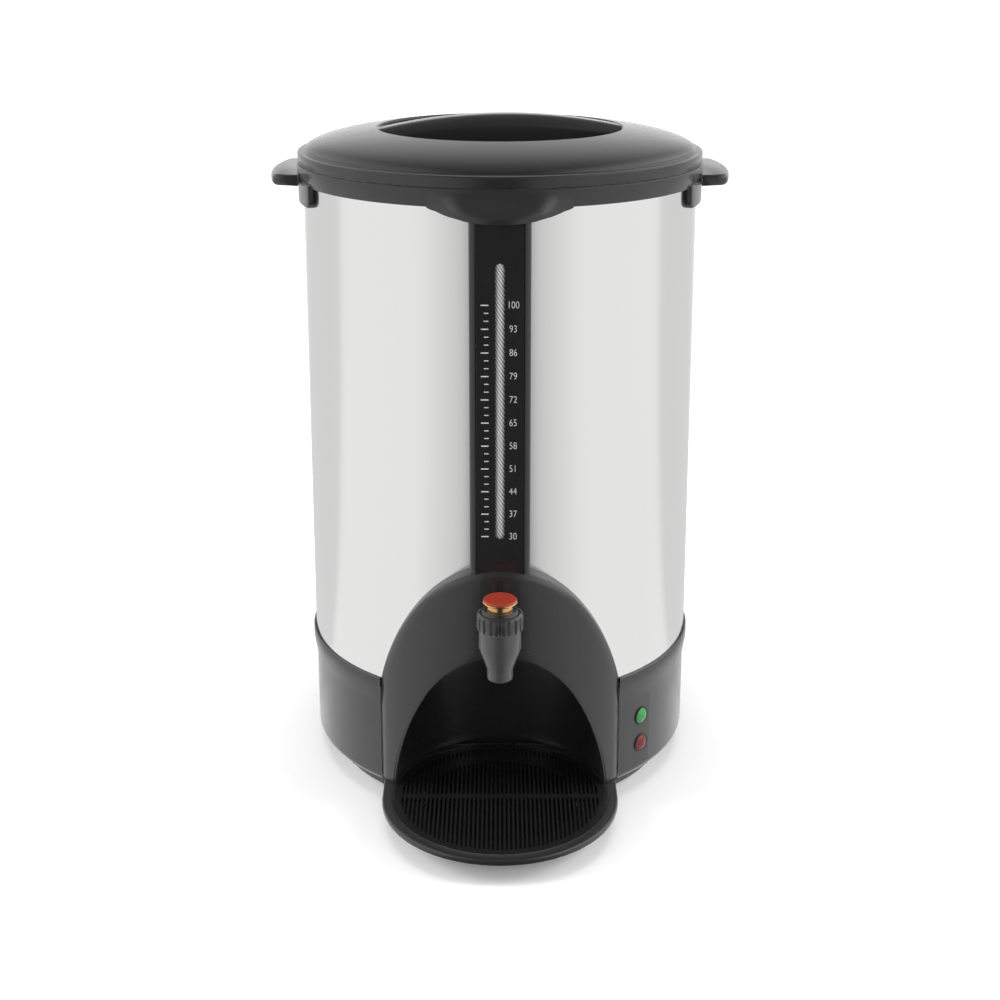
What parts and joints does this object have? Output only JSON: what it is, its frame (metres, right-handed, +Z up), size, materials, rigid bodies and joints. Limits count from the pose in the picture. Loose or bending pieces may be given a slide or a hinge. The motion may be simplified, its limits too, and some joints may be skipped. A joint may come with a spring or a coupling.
{
  "type": "coffee urn",
  "caption": "Tall steel coffee percolator urn with a black lid, side handles, a sight gauge, a push tap over an arched cup alcove and a drip tray.",
  "frame": {"origin": "the point where the tank's upright axis meets the surface that the urn stands on", "axes": "+Z up, -Y towards the side with the tap, +X to the viewer's right of the tap"},
  "size_m": [0.3246, 0.3666, 0.477],
  "materials": {
    "polished_steel": "bright satin polish",
    "bright_steel": "plain bright",
    "screw_steel": "zinc plated",
    "charcoal_plastic": "satin",
    "black_plastic": "semi gloss",
    "tap_plastic": "satin grey",
    "button_plastic": "gloss red",
    "cap_metal": "gold-coloured plating",
    "tube_glass": "clear",
    "backing_white": "white",
    "silicone": "matt",
    "foot_rubber": "matt",
    "cast_alloy": "as cast",
    "element_sheath": "dull",
    "ceramic": "matt",
    "insulated_wire": "matt",
    "pin_brass": "bright",
    "lens_green": "clear green",
    "lens_red": "clear red",
    "white_plastic": "matt"
  },
  "bodies": {
    "urn": {"steel_tank": "polished_steel", "tank_posts": "bright_steel", "post_screws": "screw_steel", "collar": "charcoal_plastic", "handle_screws": "screw_steel", "base_shell": "black_plastic", "bottom_cover": "black_plastic", "cover_screws": "screw_steel", "rubber_feet": "foot_rubber", "hood": "charcoal_plastic", "alcove_liner": "black_plastic", "hood_screws": "screw_steel", "gauge_column": "black_plastic", "gauge_panel": "black_plastic", "sight_tube": "tube_glass", "gauge_backing": "backing_white", "tube_seal": "silicone", "tube_cap": "silicone", "heater_plate": "cast_alloy", "heating_element": "element_sheath", "thermostat": "ceramic", "thermal_cutout": "ceramic", "terminal_block": "ceramic", "wiring_harness": "insulated_wire", "inlet_socket": "black_plastic", "inlet_pins": "pin_brass", "inlet_screws": "screw_steel", "lamp_green": "lens_green", "lamp_red": "lens_red", "lamp_nuts": "white_plastic", "tap_body": "tap_plastic", "tap_shank": "white_plastic", "tap_nut": "white_plastic", "tap_washers": "silicone", "tap_guide": "white_plastic", "tap_bonnet": "tap_plastic", "tap_spring": "bright_steel"},
    "lid": {"lid_shell": "charcoal_plastic", "lid_liner": "bright_steel", "lid_screws": "screw_steel"},
    "pump": {"pump_tube": "bright_steel", "pump_washer": "bright_steel"},
    "basket": {"coffee_basket": "bright_steel"},
    "basket_cover": {"basket_lid": "bright_steel"},
    "plunger": {"tap_button": "button_plastic", "tap_cap": "cap_metal", "tap_stem": "bright_steel", "tap_plug": "silicone"},
    "tray": {"drip_tray": "black_plastic"},
    "grid": {"drip_grid": "charcoal_plastic"}
  },
  "joints": [
    {"name": "lid_lift", "type": "slide", "parent": "urn", "child": "lid", "axis": [0, 0, 1], "range_m": [0, 0.55]},
    {"name": "pump_lift", "type": "slide", "parent": "urn", "child": "pump", "axis": [0, 0, 1], "range_m": [0, 0.336]},
    {"name": "basket_lift", "type": "slide", "parent": "pump", "child": "basket", "axis": [0, 0, 1], "range_m": [0, 0.111]},
    {"name": "basket_lid_lift", "type": "slide", "parent": "basket", "child": "basket_cover", "axis": [0, 0, 1], "range_m": [0, 0.05]},
    {"name": "button_press", "type": "slide", "parent": "urn", "child": "plunger", "axis": [0, 0, -1], "range_m": [0, 0.003], "stiffness_N_per_m": 400, "springref_m": -0.003, "deforming": ["tap_spring"]},
    {"name": "tray_slide", "type": "slide", "parent": "urn", "child": "tray", "axis": [0, -1, 0], "range_m": [0, 0.16]},
    {"name": "grid_lift", "type": "slide", "parent": "tray", "child": "grid", "axis": [0, 0, 1], "range_m": [0, 0.0501]}
  ],
  "couplings": [
    {"joint": "pump_lift", "follows": "lid_lift", "ratio": 0.61},
    {"joint": "basket_lift", "follows": "lid_lift", "ratio": 0.2},
    {"joint": "basket_lid_lift", "follows": "lid_lift", "ratio": 0.09},
    {"joint": "grid_lift", "follows": "tray_slide", "ratio": 0.3125}
  ]
}
